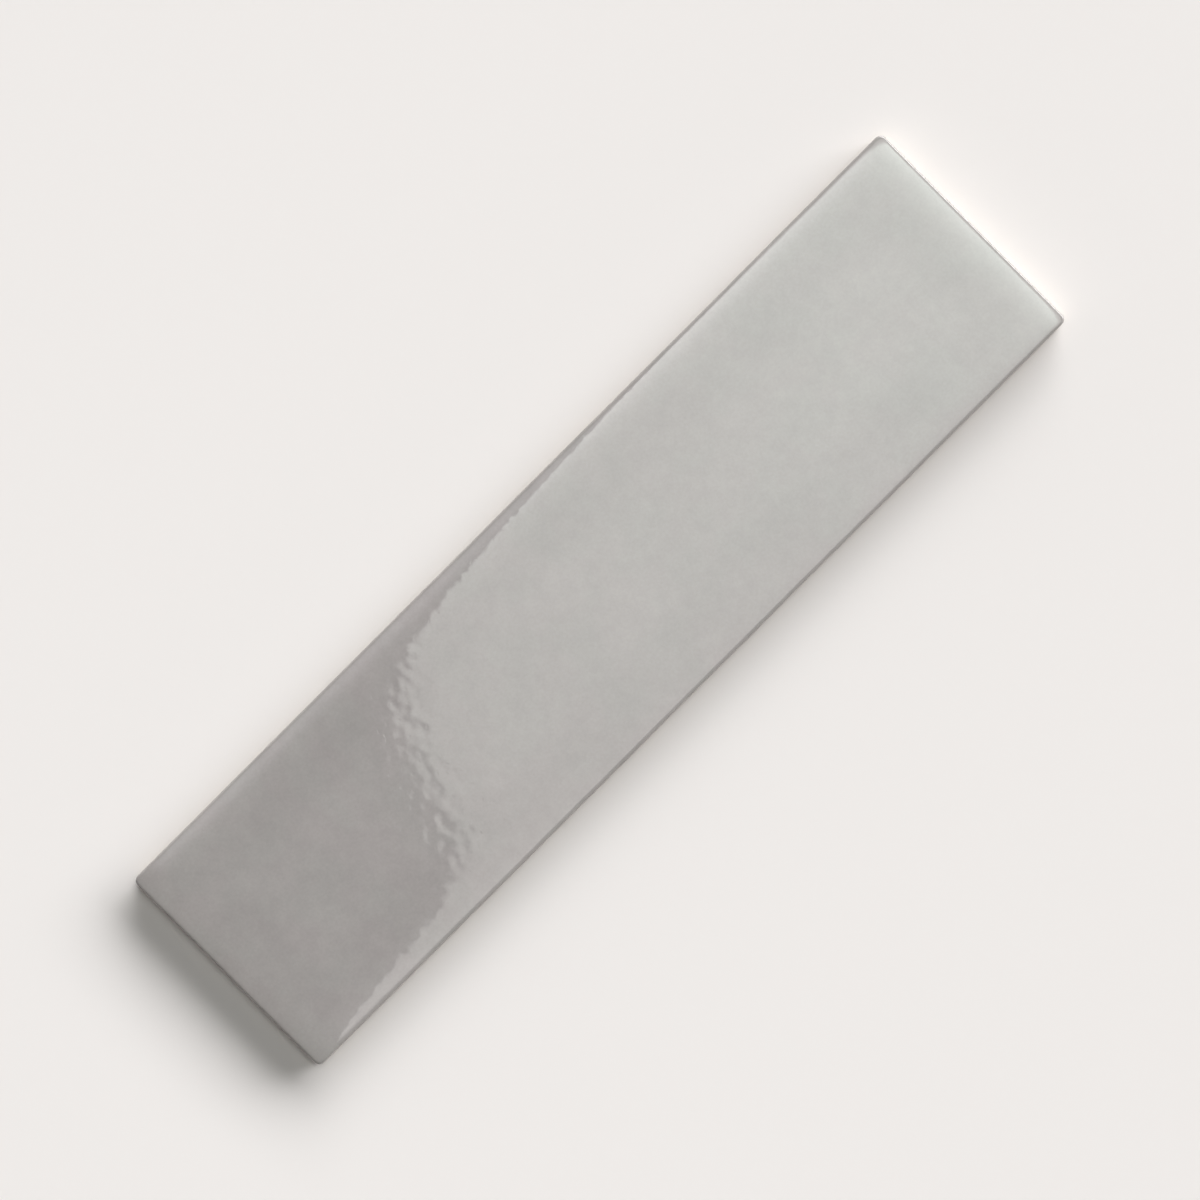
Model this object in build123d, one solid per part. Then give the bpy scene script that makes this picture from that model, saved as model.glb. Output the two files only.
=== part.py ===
from build123d import *
import os

# A glazed ceramic wall tile, pressed and fired as one piece, lying on its back.
# Millimetres. +X runs along the tile, +Z points out of the glazed face, and the origin is in the
# middle of the back.

# Overall
length = 300.0
width = 75.0
thickness = 8.5
corner_radius = 2.0

# Cushioned face: a flat field that falls away towards all four edges
crown_width = 9.0
crown_drop = 0.4
field_corner_radius = 2.0
rim_radius = 0.8

# Sides: a flat land that faces the next tile across the joint, and a drafted flank below it
flank_height = 3.5
flank_inset = 0.5
back_bevel = 0.4

# Keyed back: shallow pockets between ribs, inside a plain border, for the adhesive to grip
border_width = 6.0
rib_width = 2.4
spacing_along = 24.0
spacing_across = 16.0
pocket_depth = 0.8
pocket_draft = 35.0
pocket_corner_radius = 2.0

# How far a face's normal may lean and still count as upright
level_tolerance = 1e-6


def pressed_blank():
    """The tile before its face is shaped: land, drafted flank and bevelled back."""
    with BuildPart() as blank:
        with BuildSketch():
            RectangleRounded(length, width, corner_radius)
        extrude(amount=thickness)
        back = blank.faces().sort_by(Axis.Z)[0]
        chamfer(back.edges(), flank_inset, flank_height, reference=back)
        back = blank.faces().sort_by(Axis.Z)[0]
        chamfer(back.edges(), back_bevel)
    return blank.part


def cushion():
    """A block topped by the cushioned face, whose large edge rounds run on past the tile."""
    crown_radius = (crown_width**2 + crown_drop**2) / (2 * crown_drop)
    overrun = crown_radius - crown_width
    with BuildPart() as block:
        with BuildSketch(Plane.XY.offset(-crown_radius)):
            RectangleRounded(
                length + 2 * overrun, width + 2 * overrun, crown_radius + field_corner_radius
            )
        extrude(amount=crown_radius + thickness)
        fillet(block.faces().sort_by(Axis.Z)[-1].edges(), crown_radius)
    return block.part


def pocket_row(between_borders, spacing):
    """How many pockets about this far apart fill a row, and their exact pitch. The number is
    even, so that a rib runs through the middle of the back."""
    count = 2 * max(1, round(between_borders / (2 * spacing)))
    return count, (between_borders + rib_width) / count


def key_pockets():
    """The pockets of the keyed back, each narrowing towards its floor."""
    margins = 2 * (flank_inset + border_width)
    columns, column_pitch = pocket_row(length - margins, spacing_along)
    rows, row_pitch = pocket_row(width - margins, spacing_across)
    with BuildPart() as pockets:
        with BuildSketch():
            with GridLocations(column_pitch, row_pitch, columns, rows):
                RectangleRounded(
                    column_pitch - rib_width, row_pitch - rib_width, pocket_corner_radius
                )
        extrude(amount=pocket_depth, taper=pocket_draft)
    return pockets.part


def wall_tile():
    """The whole tile: shaped face, rounded rim and keyed back."""
    with BuildPart() as tile:
        add(pressed_blank())
        add(cushion(), mode=Mode.INTERSECT)
        sides = tile.faces().filter_by(lambda face: abs(face.normal_at().Z) < level_tolerance)
        land_middle = (flank_height + thickness - crown_drop) / 2
        rim = sides.edges().filter_by(lambda edge: edge.bounding_box().min.Z > land_middle)
        fillet(rim, rim_radius)
        add(key_pockets(), mode=Mode.SUBTRACT)
    return tile.part


os.makedirs("parts", exist_ok=True)
export_step(wall_tile(), "parts/tile.step")
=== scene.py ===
import math

import bmesh
import bpy
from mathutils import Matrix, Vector, noise


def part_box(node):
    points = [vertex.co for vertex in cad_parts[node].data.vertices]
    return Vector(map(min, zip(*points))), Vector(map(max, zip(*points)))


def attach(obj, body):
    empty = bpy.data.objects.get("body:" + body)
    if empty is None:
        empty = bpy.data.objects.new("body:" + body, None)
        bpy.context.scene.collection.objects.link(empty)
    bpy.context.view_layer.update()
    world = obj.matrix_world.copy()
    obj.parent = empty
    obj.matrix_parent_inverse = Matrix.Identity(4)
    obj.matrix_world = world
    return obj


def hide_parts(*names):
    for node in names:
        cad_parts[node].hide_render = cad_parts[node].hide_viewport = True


# The looks of a glazed wall tile that lies on its back, +X along it and +Z out of its face.
# Sizes are in millimetres by name and are turned into metres by MM.
MM = 0.001

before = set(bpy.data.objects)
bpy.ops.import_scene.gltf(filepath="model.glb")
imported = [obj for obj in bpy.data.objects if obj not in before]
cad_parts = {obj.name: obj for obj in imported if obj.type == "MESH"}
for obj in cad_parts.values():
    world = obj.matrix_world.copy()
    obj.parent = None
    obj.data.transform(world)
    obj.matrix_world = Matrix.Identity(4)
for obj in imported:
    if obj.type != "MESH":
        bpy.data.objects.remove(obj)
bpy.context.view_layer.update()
tile_low, tile_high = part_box("tile")
LENGTH, WIDTH, THICKNESS = (tile_high - tile_low) / MM
HALF_LENGTH = LENGTH / 2
HALF_WIDTH = WIDTH / 2

# Forms that the tile's construction gives
CORNER_RADIUS = 2.0
CROWN_WIDTH = 9.0
CROWN_DROP = 0.4
RIM_RADIUS = 0.8
FLANK_HEIGHT = 3.5
FLANK_INSET = 0.5
BACK_BEVEL = 0.4
BORDER_WIDTH = 6.0
RIB_WIDTH = 2.4
SPACING_ALONG = 24.0
SPACING_ACROSS = 16.0
POCKET_DEPTH = 0.8
POCKET_DRAFT = math.radians(35)
POCKET_CORNER_RADIUS = 2.0

# Firing softens the crown, whose fall then fades out towards the middle of the face
CROWN_REACH = CROWN_WIDTH / 2.5
RIM_LEAN = math.atan(CROWN_DROP / CROWN_REACH)
RIM_INSET = RIM_RADIUS * (1 - math.sin(RIM_LEAN))

# The back bevel is softened: an inset and a height that it passes through
BEVEL_SOFT_INSET = FLANK_INSET + 0.1
BEVEL_SOFT_HEIGHT = 0.1

# A pocket's edges are softened over this distance
POCKET_SOFTNESS = 0.12

# What firing does to the pressed form, as depths and as the sizes of the hills between them
LONG_WAVE_DEPTH = 0.035
LONG_WAVE_SIZE = 55.0
SHORT_WAVE_DEPTH = 0.006
SHORT_WAVE_SIZE = 14.0
LONG_WANDER_DEPTH = 0.16
LONG_WANDER_SIZE = 30.0
SHORT_WANDER_DEPTH = 0.05
SHORT_WANDER_SIZE = 6.0
WANDER_REACH = 8.0

# The line low on the sides where the glaze ends: its height, how it sways, and its runs
GLAZE_END = 2.9
GLAZE_SWAY = 0.6
GLAZE_SWAY_SIZE = 16.0
GLAZE_RIPPLE = 0.3
GLAZE_RIPPLE_SIZE = 3.0
GLAZE_RUN = 1.2
GLAZE_RUN_SIZE = 9.0
GLAZE_THICKNESS = 0.12
GLAZE_STEP_REACH = (2.0, 0.5)

# Below this height everything is bare clay, the foot of the sides and the pockets, and lies
# at least this far under the glaze's line
BARE_HEIGHT = 1.1 * POCKET_DEPTH
WELL_BELOW_GLAZE = -1.0

# Mesh density
CROWN_BAND = 10.0
CROWN_STEP = 0.6
FIELD_STEP = 1.2
RIM_RINGS = 9
LAND_RINGS = 12
FLANK_RINGS = 12
POCKET_BAND = 2 * POCKET_CORNER_RADIUS
POCKET_BAND_STEP = 0.8
POCKET_STEP = 4.0
WELD_DISTANCE = 0.001
SHARP_ANGLE = math.radians(32)


def smooth(value, low, high):
    """0 below low, 1 above high, and a soft S between."""
    share = min(max((value - low) / (high - low), 0.0), 1.0)
    return share * share * (3 - 2 * share)


def wave(x, y, size, seed):
    """Smooth noise from -1 to 1 whose hills are about this many millimetres across."""
    return noise.noise(Vector((x / size, y / size, seed)))


def stations(half, band, fine, coarse):
    """Places from -half to half, close together in a band at each end."""
    fine_count = round(band / fine)
    coarse_count = max(1, round(2 * (half - band) / coarse))
    edge = [half - band + band * i / fine_count for i in range(1, fine_count + 1)]
    middle = [
        -(half - band) + 2 * (half - band) * i / coarse_count for i in range(coarse_count + 1)
    ]
    return [-place for place in reversed(edge)] + middle + edge


def round_corner(x, y, half_x, half_y, block, radius):
    """Moves a point of a rectangle's grid so that the rectangle's corners come out round.
    Inside a square block at each corner, the L-shaped contours get rounder on the way out."""
    a = abs(x) - (half_x - block)
    b = abs(y) - (half_y - block)
    if a <= 0 or b <= 0:
        return x, y
    reach = max(a, b)
    turn = radius * reach / block
    straight = reach - turn
    contour = 2 * straight + turn * math.pi / 2
    along = (b if a >= b else 2 * reach - a) / (2 * reach) * contour
    if along < straight:
        a, b = reach, along
    elif along > contour - straight:
        a, b = contour - along, reach
    else:
        angle = (along - straight) / turn
        a, b = straight + turn * math.cos(angle), straight + turn * math.sin(angle)
    return math.copysign(half_x - block + a, x), math.copysign(half_y - block + b, y)


def fall(edge):
    """How far the face lies below its middle at this distance from an edge."""
    return CROWN_DROP * math.exp(-edge / CROWN_REACH)


def face_height(x, y):
    """The height of the cushioned face."""
    return THICKNESS - fall(HALF_LENGTH - abs(x)) - fall(HALF_WIDTH - abs(y))


def face_lean(x, y, normal):
    """How steeply the face falls towards the rim, as an angle along the outline's normal."""
    to_end = fall(HALF_LENGTH - abs(x)) * abs(normal.x)
    to_side = fall(HALF_WIDTH - abs(y)) * abs(normal.y)
    return math.atan((to_end + to_side) / CROWN_REACH)


def outline_normal(x, y, half_x, half_y, radius):
    """The outward direction of a rounded rectangle at a point of its outline."""
    corner = Vector((abs(x) - (half_x - radius), abs(y) - (half_y - radius)))
    if corner.x > 0 and corner.y > 0:
        corner.normalize()
        return Vector((math.copysign(corner.x, x), math.copysign(corner.y, y)))
    if half_x - abs(x) < half_y - abs(y):
        return Vector((math.copysign(1.0, x), 0.0))
    return Vector((0.0, math.copysign(1.0, y)))


def hills(x, y, height, size, seed):
    """Smooth hills from 0 to this height."""
    return height * (0.5 + 0.5 * wave(x, y, size, seed))


def undulation(x, y):
    """How far the fired glaze lies below the pressed form: long soft waves and short ones."""
    long_wave = hills(x, y, LONG_WAVE_DEPTH, LONG_WAVE_SIZE, seed=3.1)
    return long_wave + hills(x, y, SHORT_WAVE_DEPTH, SHORT_WAVE_SIZE, seed=8.7)


def outline_wander(x, y):
    """How far the tile's outline falls short of a true rectangle."""
    long_wander = hills(x, y, LONG_WANDER_DEPTH, LONG_WANDER_SIZE, seed=21.0)
    return long_wander + hills(x, y, SHORT_WANDER_DEPTH, SHORT_WANDER_SIZE, seed=33.0)


def glaze_line(x, y):
    """The height at which the glaze ends on the sides, with a few longer runs."""
    runs = smooth(wave(x, y, GLAZE_RUN_SIZE, seed=47.0), low=0.15, high=0.75)
    sway = GLAZE_SWAY * wave(x, y, GLAZE_SWAY_SIZE, seed=51.0)
    ripple = GLAZE_RIPPLE * wave(x, y, GLAZE_RIPPLE_SIZE, seed=57.0)
    return GLAZE_END + sway + ripple - GLAZE_RUN * runs


def add_face_grid(mesh, glaze):
    """The glazed face, out to where the rim's round begins. Returns its boundary in order."""
    half_x = HALF_LENGTH - RIM_INSET
    half_y = HALF_WIDTH - RIM_INSET
    columns = stations(half_x, CROWN_BAND, CROWN_STEP, FIELD_STEP)
    rows = stations(half_y, CROWN_BAND, CROWN_STEP, FIELD_STEP)
    grid = []
    for column in columns:
        line = []
        for row in rows:
            x, y = round_corner(
                column, row, half_x, half_y, CROWN_BAND, CORNER_RADIUS - RIM_INSET
            )
            vertex = mesh.verts.new((x, y, face_height(x, y)))
            vertex[glaze] = THICKNESS
            line.append(vertex)
        grid.append(line)
    for left, right in zip(grid, grid[1:]):
        for a, b, c, d in zip(left, right, right[1:], left[1:]):
            mesh.faces.new((a, b, c, d))
    return (
        [line[0] for line in grid]
        + grid[-1][1:]
        + [line[-1] for line in reversed(grid[:-1])]
        + grid[0][-2:0:-1]
    )


def side_profiles(boundary):
    """For each boundary vertex, the (inset, height) points from the rim down to the back."""
    profiles = []
    for vertex in boundary:
        x, y, top = vertex.co
        normal = outline_normal(
            x, y, HALF_LENGTH - RIM_INSET, HALF_WIDTH - RIM_INSET, CORNER_RADIUS - RIM_INSET
        )
        lean = face_lean(x, y, normal)
        radius = RIM_INSET / (1 - math.sin(lean))
        points = []
        for i in range(1, RIM_RINGS + 1):
            angle = lean + (math.pi / 2 - lean) * i / RIM_RINGS
            drop = radius * (math.cos(lean) - math.cos(angle))
            points.append((radius * (1 - math.sin(angle)), top - drop))
        land_top = points[-1][1]
        for i in range(1, LAND_RINGS + 1):
            points.append((0.0, land_top + (FLANK_HEIGHT - land_top) * i / LAND_RINGS))
        bevel_inset = FLANK_INSET * (FLANK_HEIGHT - BACK_BEVEL) / FLANK_HEIGHT
        for i in range(1, FLANK_RINGS + 1):
            share = i / FLANK_RINGS
            points.append(
                (bevel_inset * share, FLANK_HEIGHT + (BACK_BEVEL - FLANK_HEIGHT) * share)
            )
        points.append((BEVEL_SOFT_INSET, BEVEL_SOFT_HEIGHT))
        points.append((FLANK_INSET + BACK_BEVEL, 0.0))
        profiles.append((normal, points))
    return profiles


def add_sides(mesh, glaze, boundary):
    """Rim, land, flank and back bevel as rings below the face."""
    profiles = side_profiles(boundary)
    ring = boundary
    for level in range(len(profiles[0][1])):
        below = []
        for vertex, (normal, points) in zip(boundary, profiles):
            inset, height = points[level]
            outer = Vector(vertex.co.xy) + normal * (RIM_INSET - inset)
            new = mesh.verts.new((outer.x, outer.y, height))
            new[glaze] = height - glaze_line(outer.x, outer.y)
            below.append(new)
        for a, b, c, d in zip(ring, below, below[1:] + below[:1], ring[1:] + ring[:1]):
            mesh.faces.new((a, b, c, d))
        ring = below


def pocket_row(between_borders, spacing):
    """How many pockets about this far apart fill a row, and their exact pitch."""
    count = 2 * max(1, round(between_borders / (2 * spacing)))
    return count, (between_borders + RIB_WIDTH) / count


def add_pocket(mesh, centre, size, corners):
    """One cell of the keyed back: half a rib all round, soft-edged walls and a floor. Returns
    the cell's outline, which its neighbours share."""
    soft = POCKET_SOFTNESS
    wall = POCKET_DEPTH * math.tan(POCKET_DRAFT)
    section = [
        (-2 * soft, 0.0),
        (-0.3 * soft, 0.15 * soft),
        (0.7 * soft, 0.9 * soft),
        (wall - soft, POCKET_DEPTH - 1.6 * soft),
        (wall + 0.2 * soft, POCKET_DEPTH - 0.4 * soft),
        (wall + 2 * soft, POCKET_DEPTH),
    ]
    block = 1.5 * POCKET_CORNER_RADIUS
    outline = [mesh.verts.new((centre.x + x, centre.y + y, 0.0)) for x, y in corners]
    ring = outline
    for inset, height in section:
        half_x = (size.x - RIB_WIDTH) / 2 - inset
        half_y = (size.y - RIB_WIDTH) / 2 - inset
        inner = []
        for x, y in corners:
            x, y = round_corner(
                x * half_x / (size.x / 2),
                y * half_y / (size.y / 2),
                half_x,
                half_y,
                block,
                POCKET_CORNER_RADIUS - inset,
            )
            inner.append(mesh.verts.new((centre.x + x, centre.y + y, height)))
        for a, b, c, d in zip(ring, inner, inner[1:] + inner[:1], ring[1:] + ring[:1]):
            mesh.faces.new((a, b, c, d))
        ring = inner
    mesh.faces.new(ring)
    return outline


def rectangle_loop(columns, rows):
    """The points of a rectangle's outline, in order, from its columns and rows of stations."""
    return (
        [(x, rows[0]) for x in columns]
        + [(columns[-1], y) for y in rows[1:]]
        + [(x, rows[-1]) for x in reversed(columns[:-1])]
        + [(columns[0], y) for y in rows[-2:0:-1]]
    )


def add_keyed_back(mesh):
    """The pockets, and the plain border that joins them to the sides' lowest ring."""
    margins = 2 * (FLANK_INSET + BORDER_WIDTH)
    columns, pitch_x = pocket_row(LENGTH - margins, SPACING_ALONG)
    rows, pitch_y = pocket_row(WIDTH - margins, SPACING_ACROSS)
    size = Vector((pitch_x, pitch_y))
    corners = rectangle_loop(
        stations(pitch_x / 2, POCKET_BAND, POCKET_BAND_STEP, POCKET_STEP),
        stations(pitch_y / 2, POCKET_BAND, POCKET_BAND_STEP, POCKET_STEP),
    )
    shared = []
    for i in range(columns):
        for j in range(rows):
            centre = Vector(((i + 0.5 - columns / 2) * pitch_x, (j + 0.5 - rows / 2) * pitch_y))
            shared += add_pocket(mesh, centre, size, corners)
    bmesh.ops.remove_doubles(mesh, verts=shared, dist=WELD_DISTANCE)
    edges = [edge for edge in mesh.edges if edge.is_boundary]
    bmesh.ops.triangle_fill(mesh, use_beauty=True, edges=edges, normal=(0, 0, -1))


def shape_as_fired(mesh, glaze):
    """Takes the true form to the fired one: waves in the glaze, an outline that wanders, and
    a side that stands back where the glaze ends."""
    for vertex in mesh.verts:
        x, y, z = vertex.co
        edge = min(HALF_LENGTH - abs(x), HALF_WIDTH - abs(y))
        normal = outline_normal(x, y, HALF_LENGTH, HALF_WIDTH, CORNER_RADIUS)
        inward = outline_wander(x, y) * smooth(edge, WANDER_REACH, 0.0)
        bare = smooth(vertex[glaze], 0.15, -0.2)
        inward += GLAZE_THICKNESS * bare * smooth(edge, *GLAZE_STEP_REACH)
        vertex.co.x -= normal.x * inward
        vertex.co.y -= normal.y * inward
        vertex.co.z -= undulation(x, y) * smooth(z, FLANK_HEIGHT, THICKNESS - CROWN_DROP)


def build_tile():
    """The whole tile as one closed mesh."""
    mesh = bmesh.new()
    glaze = mesh.verts.layers.float.new("glaze")
    boundary = add_face_grid(mesh, glaze)
    add_sides(mesh, glaze, boundary)
    add_keyed_back(mesh)
    for vertex in mesh.verts:
        if vertex.co.z < BARE_HEIGHT:
            vertex[glaze] = min(vertex[glaze], WELL_BELOW_GLAZE)
    shape_as_fired(mesh, glaze)
    bmesh.ops.scale(mesh, vec=(MM, MM, MM), verts=mesh.verts)
    bmesh.ops.recalc_face_normals(mesh, faces=mesh.faces)
    data = bpy.data.meshes.new("glazed_tile")
    mesh.to_mesh(data)
    mesh.free()
    for polygon in data.polygons:
        polygon.use_smooth = True
    data.set_sharp_from_angle(angle=SHARP_ANGLE)
    tile = bpy.data.objects.new("glazed_tile", data)
    bpy.context.scene.collection.objects.link(tile)
    return tile


def add_node(tree, kind, inputs=None, **settings):
    """A shader node, with its inputs set to values or joined to other nodes' outputs."""
    made = tree.nodes.new(kind)
    for name, value in settings.items():
        setattr(made, name, value)
    for name, value in (inputs or {}).items():
        if isinstance(value, bpy.types.NodeSocket):
            tree.links.new(value, made.inputs[name])
        else:
            made.inputs[name].default_value = value
    return made


def calculate(tree, operation, *values):
    """The result of a Math node."""
    return add_node(
        tree, "ShaderNodeMath", dict(enumerate(values)), operation=operation
    ).outputs["Value"]


def swing(tree, value, low, high, to_low=0.0, to_high=1.0):
    """A soft S from to_low, where the value is low, to to_high, where it is high."""
    return add_node(
        tree,
        "ShaderNodeMapRange",
        {"Value": value, "From Min": low, "From Max": high, "To Min": to_low, "To Max": to_high},
        interpolation_type="SMOOTHSTEP",
    ).outputs["Result"]


def grain(tree, place, size, seed, detail=2.0, roughness=0.5):
    """Noise from 0 to 1 whose grains are about this many millimetres across."""
    return add_node(
        tree,
        "ShaderNodeTexNoise",
        {"Vector": place, "W": seed, "Scale": 1 / size, "Detail": detail, "Roughness": roughness},
        noise_dimensions="4D",
    ).outputs["Fac"]


def blend_colours(tree, share, first, second):
    """One colour fading into another."""
    mixed = add_node(tree, "ShaderNodeMix", {0: share}, data_type="RGBA")
    for socket, colour in ((mixed.inputs[6], first), (mixed.inputs[7], second)):
        if isinstance(colour, bpy.types.NodeSocket):
            tree.links.new(colour, socket)
        else:
            socket.default_value = (*colour, 1.0)
    return mixed.outputs[2]


def brighten(tree, colour, factor):
    """A colour multiplied by a number."""
    return add_node(
        tree, "ShaderNodeVectorMath", {"Vector": colour, "Scale": factor}, operation="SCALE"
    ).outputs["Vector"]


# The glaze's two tints and the fired clay's, and how strongly the glaze bends light
GLAZE_PINK = (0.343, 0.320, 0.307)
GLAZE_GREEN = (0.338, 0.322, 0.306)
BISCUIT_PALE = (0.42, 0.36, 0.29)
BISCUIT_DARK = (0.33, 0.28, 0.22)
GLAZE_IOR = 1.6

# Relief of the glaze and of the clay, in millimetres
BROAD_PEEL = 0.006
FINE_PEEL = 0.008
PINHOLE = 0.002
CLAY_GRIT = 0.12

# The glaze is darker in a band inside the edges: where the band starts and ends, and how much
# darker it is
DARK_BAND_START = (6.0, 12.0)
DARK_BAND_END = (16.0, 26.0)
DARK_BAND_AMOUNT = 0.045
DARK_BAND_WANDER = 5.0


def glaze_bands_and_side_shade(tree, place, edge, above):
    """Factors for the glaze's colour: a darker band inside the crown, thin towards the rim, and
    painted shade that darkens the sides low down and the light that they bounce onto the floor."""
    sway = grain(tree, place, size=12.0, seed=5.0)
    wander = calculate(tree, "MULTIPLY_ADD", sway, DARK_BAND_WANDER, -DARK_BAND_WANDER / 2)
    line = calculate(tree, "ADD", edge, wander)
    into_band = swing(tree, line, *DARK_BAND_START)
    out_of_band = swing(tree, line, *DARK_BAND_END, to_low=1.0, to_high=0.0)
    dark_band = calculate(tree, "MULTIPLY", into_band, out_of_band)
    dark_band = calculate(tree, "MULTIPLY_ADD", dark_band, -DARK_BAND_AMOUNT, 1.0)
    thin = swing(tree, line, low=0.0, high=7.0, to_low=1.04, to_high=1.0)
    # Painted shade: the sides are darkened low down, which tones down how brightly the low key
    # light shows on them and what they bounce onto the floor
    painted_side_shade = swing(tree, above, low=2.5, high=5.0, to_low=0.75, to_high=1.0)
    return dark_band, thin, painted_side_shade


def glaze_colour(tree, place, edge, above):
    """Warm grey glaze: cloudy, finely grained, darker in a band inside the edges, and with
    painted shade low on the sides.
    """
    tint = grain(tree, place, size=13.0, seed=1.0, detail=3.0)
    tint = swing(tree, tint, low=0.35, high=0.65)
    colour = blend_colours(tree, tint, GLAZE_GREEN, GLAZE_PINK)
    clouds = grain(tree, place, size=24.0, seed=2.0, detail=3.0, roughness=0.6)
    clouds = swing(tree, clouds, low=0.25, high=0.75, to_low=0.967, to_high=1.033)
    mottle = grain(tree, place, size=4.5, seed=3.0, detail=3.0, roughness=0.6)
    mottle = swing(tree, mottle, low=0.2, high=0.8, to_low=0.96, to_high=1.04)
    specks = grain(tree, place, size=0.8, seed=4.0, detail=1.0)
    specks = swing(tree, specks, low=0.2, high=0.8, to_low=0.97, to_high=1.03)
    for factor in (clouds, mottle, specks, *glaze_bands_and_side_shade(tree, place, edge, above)):
        colour = brighten(tree, colour, factor)
    return colour


def biscuit_colour(tree, place):
    """Pale fired clay."""
    clouds = grain(tree, place, size=9.0, seed=11.0, detail=4.0, roughness=0.6)
    clouds = swing(tree, clouds, low=0.3, high=0.7)
    colour = blend_colours(tree, clouds, BISCUIT_DARK, BISCUIT_PALE)
    grit = grain(tree, place, size=0.45, seed=12.0, detail=2.0)
    grit = swing(tree, grit, low=0.25, high=0.75, to_low=0.94, to_high=1.05)
    return brighten(tree, colour, grit)


def surface_roughness(tree, place, glazed, bare):
    """Nearly a mirror on the glaze, and matt on the clay."""
    matt = grain(tree, place, size=0.6, seed=31.0)
    matt = swing(tree, matt, low=0.2, high=0.8, to_low=0.72, to_high=0.92)
    gloss = grain(tree, place, size=10.0, seed=32.0, detail=3.0)
    gloss = swing(tree, gloss, low=0.3, high=0.7, to_low=0.012, to_high=0.022)
    on_glaze = calculate(tree, "MULTIPLY", glazed, gloss)
    on_clay = calculate(tree, "MULTIPLY", bare, matt)
    return calculate(tree, "ADD", on_glaze, on_clay)


def surface_relief(tree, place, bare):
    """The glaze's orange peel and pinholes, and the clay's grit."""
    broad_peel = grain(tree, place, size=7.0, seed=41.0, detail=1.0)
    broad_peel = calculate(tree, "MULTIPLY", broad_peel, BROAD_PEEL)
    fine_peel = grain(tree, place, size=2.8, seed=43.0, detail=0.0)
    fine_peel = calculate(tree, "MULTIPLY", fine_peel, FINE_PEEL)
    pits = grain(tree, place, size=1.7, seed=44.0, detail=0.0)
    pits = swing(tree, pits, low=0.72, high=0.80, to_low=0.0, to_high=-PINHOLE)
    relief = calculate(tree, "ADD", calculate(tree, "ADD", broad_peel, fine_peel), pits)
    peel = add_node(
        tree, "ShaderNodeBump", {"Strength": 1.0, "Distance": MM, "Height": relief}
    ).outputs["Normal"]
    grit = grain(tree, place, size=0.5, seed=42.0, detail=3.0, roughness=0.6)
    grit = calculate(tree, "MULTIPLY", bare, grit)
    return add_node(
        tree,
        "ShaderNodeBump",
        {"Strength": 1.0, "Distance": CLAY_GRIT * MM, "Height": grit, "Normal": peel},
    ).outputs["Normal"]


def ceramic_material():
    """Glossy glaze above the glaze's lower line on the sides, bare clay below it."""
    material = bpy.data.materials.new("glazed_ceramic")
    material.use_nodes = True
    tree = material.node_tree
    tree.nodes.clear()
    where = add_node(tree, "ShaderNodeTexCoord").outputs["Object"]
    place = add_node(
        tree, "ShaderNodeVectorMath", {"Vector": where, "Scale": 1 / MM}, operation="SCALE"
    ).outputs["Vector"]
    axes = add_node(tree, "ShaderNodeSeparateXYZ", {"Vector": place}).outputs
    to_end = calculate(tree, "SUBTRACT", HALF_LENGTH, calculate(tree, "ABSOLUTE", axes["X"]))
    to_side = calculate(tree, "SUBTRACT", HALF_WIDTH, calculate(tree, "ABSOLUTE", axes["Y"]))
    edge = calculate(tree, "MINIMUM", to_end, to_side)
    above = add_node(tree, "ShaderNodeAttribute", attribute_name="glaze").outputs["Fac"]
    ragged = calculate(tree, "ADD", above, grain(tree, place, size=0.7, seed=21.0))
    glazed = swing(tree, ragged, low=0.4, high=0.6)
    bare = calculate(tree, "SUBTRACT", 1.0, glazed)
    clay = biscuit_colour(tree, place)
    glaze = glaze_colour(tree, place, edge, above)
    shader = add_node(
        tree,
        "ShaderNodeBsdfPrincipled",
        {
            "Base Color": blend_colours(tree, glazed, clay, glaze),
            "Roughness": surface_roughness(tree, place, glazed, bare),
            "Normal": surface_relief(tree, place, bare),
            "IOR": GLAZE_IOR,
        },
    )
    add_node(tree, "ShaderNodeOutputMaterial", {"Surface": shader.outputs["BSDF"]})
    return material


# The ground and what is far off, rendered about as written
PALE = (0.855, 0.823, 0.799)
FLOOR_SIZE = 12.0


def build_floor():
    """A plain pale floor for the tile to lie on."""
    half = FLOOR_SIZE / 2
    data = bpy.data.meshes.new("floor")
    data.from_pydata(
        [(-half, -half, 0), (half, -half, 0), (half, half, 0), (-half, half, 0)],
        [],
        [(0, 1, 2, 3)],
    )
    floor = bpy.data.objects.new("floor", data)
    bpy.context.scene.collection.objects.link(floor)
    material = bpy.data.materials.new("pale_floor")
    material.use_nodes = True
    shader = material.node_tree.nodes["Principled BSDF"]
    shader.inputs["Base Color"].default_value = (*PALE, 1.0)
    shader.inputs["Roughness"].default_value = 1.0
    shader.inputs["Specular IOR Level"].default_value = 0.0
    data.materials.append(material)


# Studio light, as directions from the tile. A light is a rectangle that faces the tile at
# distance 1, where its spans are measured: "along" points the way that its azimuth says, and
# downwards, and "across" points to the left of that.
FILL = 0.03
WALL_TOP = math.radians(8)
WALL_FADE = math.radians(8)
DAYLIGHT = (1.0, 1.0, 1.013)
ROSY = (1.05, 0.98, 1.04)
WARM = (1.0, 0.97, 0.95)
COOL = (0.87, 1.0, 0.92)
LEAST_FACING = 0.01


def dot(tree, direction, axis):
    """How much of a direction lies along an axis."""
    return add_node(
        tree, "ShaderNodeVectorMath", {0: direction, 1: tuple(axis)}, operation="DOT_PRODUCT"
    ).outputs["Value"]


def window(tree, place, span, blurs):
    """1 between two edges and 0 beyond them."""
    rise = swing(tree, place, span[0] - blurs[0], span[0] + blurs[0])
    drop = swing(tree, place, span[1] - blurs[1], span[1] + blurs[1], 1.0, 0.0)
    return calculate(tree, "MULTIPLY", rise, drop)


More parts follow.
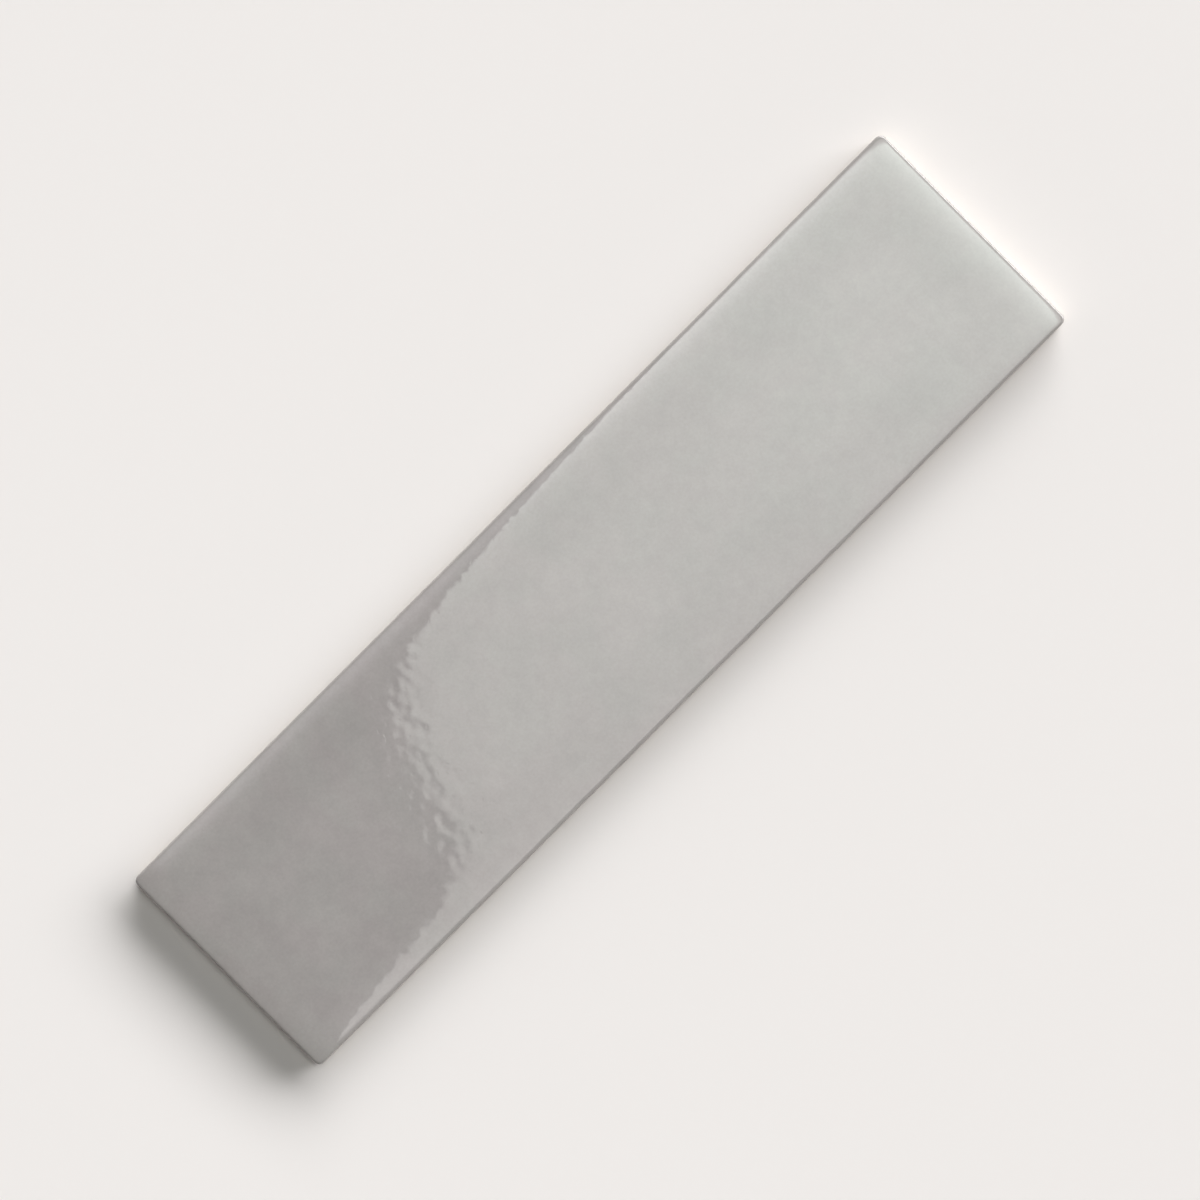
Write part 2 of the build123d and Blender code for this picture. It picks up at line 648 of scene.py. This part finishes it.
def rectangle_light(
    tree, direction, azimuth, elevation, along, across, along_blurs, across_blurs, strength
):
    """The light from a rectangle with soft edges. Its strength is a value in its middle and the
    rises from there, along and across."""
    azimuth, elevation = math.radians(azimuth), math.radians(elevation)
    flat = Vector((math.cos(azimuth), math.sin(azimuth), 0))
    up = Vector((0, 0, 1))
    facing = dot(tree, direction, flat * math.cos(elevation) + up * math.sin(elevation))
    facing = calculate(tree, "MAXIMUM", facing, LEAST_FACING)
    down = dot(tree, direction, flat * math.sin(elevation) - up * math.cos(elevation))
    down = calculate(tree, "DIVIDE", down, facing)
    left = dot(tree, direction, Vector((-flat.y, flat.x, 0)))
    left = calculate(tree, "DIVIDE", left, facing)
    middle, rise_along, rise_across = strength
    light = calculate(tree, "MULTIPLY_ADD", down, rise_along, middle)
    light = calculate(tree, "MULTIPLY_ADD", left, rise_across, light)
    light = calculate(tree, "MAXIMUM", light, 0.0)
    light = calculate(tree, "MULTIPLY", light, window(tree, down, along, along_blurs))
    return calculate(tree, "MULTIPLY", light, window(tree, left, across, across_blurs))


def lamp_list():
    """The lamps, as pairs of a colour and what rectangle_light needs. The panel hangs overhead,
    and the camera sees its edge reflected across the face. Part of it is cooler and brightens
    towards the tile's right end, and a faint halo lies beyond its edge. The key light comes from
    the right, low enough for a long soft shadow. Two weak glows overhead brighten the cushioned
    edges, and a window at the side gives the gloss something to reflect in other views."""
    panel = dict(
        azimuth=-21.2,
        elevation=90,
        along=(-0.0400, 0.36),
        across=(-0.20, 0.30),
        along_blurs=(0.0036, 0.03),
        across_blurs=(0.03, 0.03),
    )
    cool_panel = dict(
        panel,
        along=(-0.0400, 0.27),
        across=(-0.12, 0.21),
        across_blurs=(0.10, 0.03),
        strength=(0.96, 14.0, 8.5),
    )
    halo = dict(
        azimuth=-21.2,
        elevation=90,
        along=(-0.15, -0.0392),
        across=(-0.15, 0.15),
        along_blurs=(0.001, 0.001),
        across_blurs=(0.05, 0.05),
        strength=(0.7, 4.7, 0.0),
    )
    key = dict(
        azimuth=10,
        elevation=25,
        along=(-0.36, 0.22),
        across=(-0.8, 0.8),
        along_blurs=(0.06, 0.05),
        across_blurs=(0.25, 0.25),
        strength=(10.71, 29.8, 0.0),
    )
    glow_left = dict(
        azimuth=90,
        elevation=90,
        along=(0.11, 0.26),
        across=(-0.12, 0.12),
        along_blurs=(0.06, 0.06),
        across_blurs=(0.03, 0.03),
        strength=(1.2, 0.0, 0.0),
    )
    glow_right = dict(glow_left, azimuth=-90, strength=(0.3, 0.0, 0.0))
    side_window = dict(
        azimuth=135,
        elevation=30,
        along=(-0.14, 0.14),
        across=(-0.25, 0.02),
        along_blurs=(0.02, 0.02),
        across_blurs=(0.01, 0.01),
        strength=(1.2, 0.0, 0.0),
    )
    return (
        (WARM, dict(panel, strength=(2.27, 0.0, 0.0))),
        (COOL, cool_panel),
        (ROSY, halo),
        (DAYLIGHT, key),
        (ROSY, glow_left),
        (ROSY, glow_right),
        (DAYLIGHT, side_window),
    )


def light_studio():
    """The world: the lamps, a dim ceiling and a pale wall all round."""
    world = bpy.data.worlds.new("studio")
    bpy.context.scene.world = world
    world.use_nodes = True
    tree = world.node_tree
    tree.nodes.clear()
    direction = add_node(tree, "ShaderNodeTexCoord").outputs["Generated"]
    up = dot(tree, direction, (0, 0, 1))
    high = swing(tree, up, math.sin(WALL_TOP), math.sin(WALL_TOP + WALL_FADE))
    room = blend_colours(tree, high, PALE, tuple(FILL * channel for channel in ROSY))
    total = add_node(tree, "ShaderNodeBackground", {"Color": room, "Strength": 1.0})
    for colour, shape in lamp_list():
        strength = rectangle_light(tree, direction, **shape)
        lamp = add_node(
            tree, "ShaderNodeBackground", {"Color": (*colour, 1.0), "Strength": strength}
        )
        total = add_node(
            tree, "ShaderNodeAddShader", {0: total.outputs[0], 1: lamp.outputs[0]}
        )
    add_node(tree, "ShaderNodeOutputWorld", {"Surface": total.outputs[0]})


# The camera looks straight down, turned so that the tile runs from lower left to upper right
CAMERA_HEIGHT = 1.6
TURN = math.radians(-45)
SHARE_OF_FRAME = 0.78
SENSOR = 36.0


def add_camera():
    """The photograph's camera: overhead, with a long lens."""
    data = bpy.data.cameras.new("camera")
    camera = bpy.data.objects.new("camera", data)
    bpy.context.scene.collection.objects.link(camera)
    camera.location = (0, 0, THICKNESS * MM + CAMERA_HEIGHT)
    camera.rotation_euler = (0, 0, TURN)
    spans = (LENGTH + WIDTH) * MM * math.sin(abs(TURN))
    data.sensor_width = SENSOR
    data.lens = SENSOR * CAMERA_HEIGHT * SHARE_OF_FRAME / spans
    bpy.context.scene.camera = camera


tile = build_tile()
tile.data.materials.append(ceramic_material())
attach(tile, "root")
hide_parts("tile")
build_floor()
light_studio()
add_camera()
bpy.context.scene.view_settings.view_transform = "Standard"
